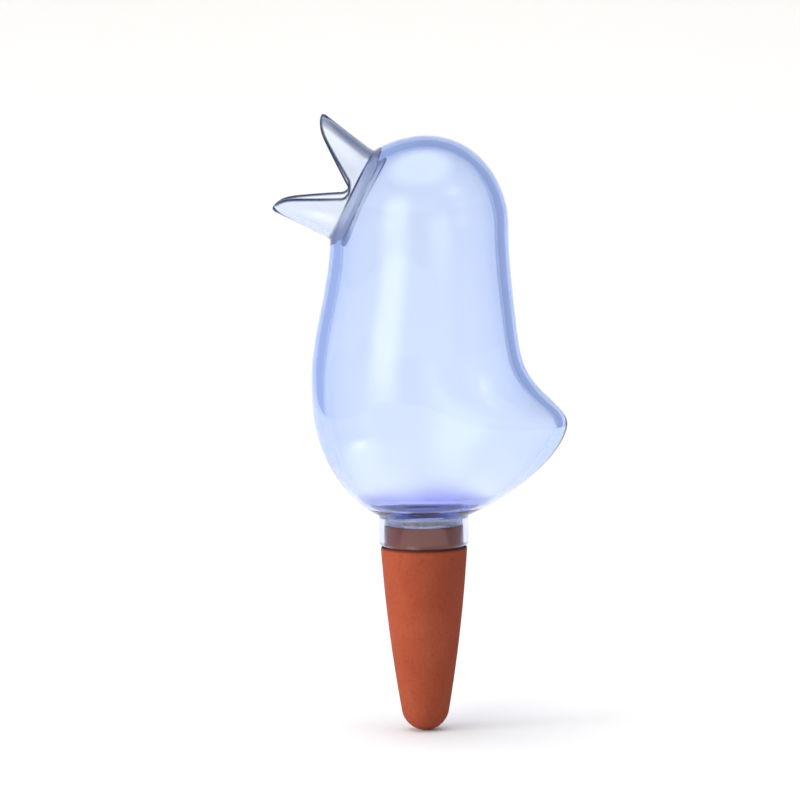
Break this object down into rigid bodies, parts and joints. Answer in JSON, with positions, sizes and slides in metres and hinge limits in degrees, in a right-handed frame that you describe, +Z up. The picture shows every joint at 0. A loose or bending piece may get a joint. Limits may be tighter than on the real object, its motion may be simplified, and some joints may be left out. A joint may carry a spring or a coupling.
{
  "type": "bird-shaped plant watering globe",
  "caption": "Clear blue bird-shaped water reservoir with an open beak for filling, standing on a hollow terracotta spike that feeds the water slowly into potting soil.",
  "frame": {"origin": "on the spike's axis at the soil line, which is the top of the spike's shoulder just under the bird's neck", "axes": "+Z up along the spike's axis, -X towards the beak, +X towards the tail, +Y to the bird's side; XZ is the mirror plane"},
  "size_m": [0.0858, 0.057, 0.1814],
  "materials": {
    "clear_blue_plastic": "clear, tinted light blue, polished",
    "clear_plastic": "clear, faintly blue, polished",
    "soft_seal": "soft, pale, slightly translucent",
    "terracotta": "unglazed, matt and finely speckled"
  },
  "bodies": {
    "spike": {"terracotta_spike": "terracotta"},
    "seal": {"seal_ring": "soft_seal"},
    "bird": {"bird_reservoir": "clear_blue_plastic", "beak_spout": "clear_plastic"}
  },
  "joints": [
    {"name": "bird_turn", "type": "hinge", "parent": "spike", "child": "seal", "pos_m": [0, 0, 0], "axis": [0, 0, 1], "continuous": true},
    {"name": "bird_lift", "type": "slide", "parent": "seal", "child": "bird", "axis": [0, 0, 1], "range_m": [0, 0.02]}
  ]
}
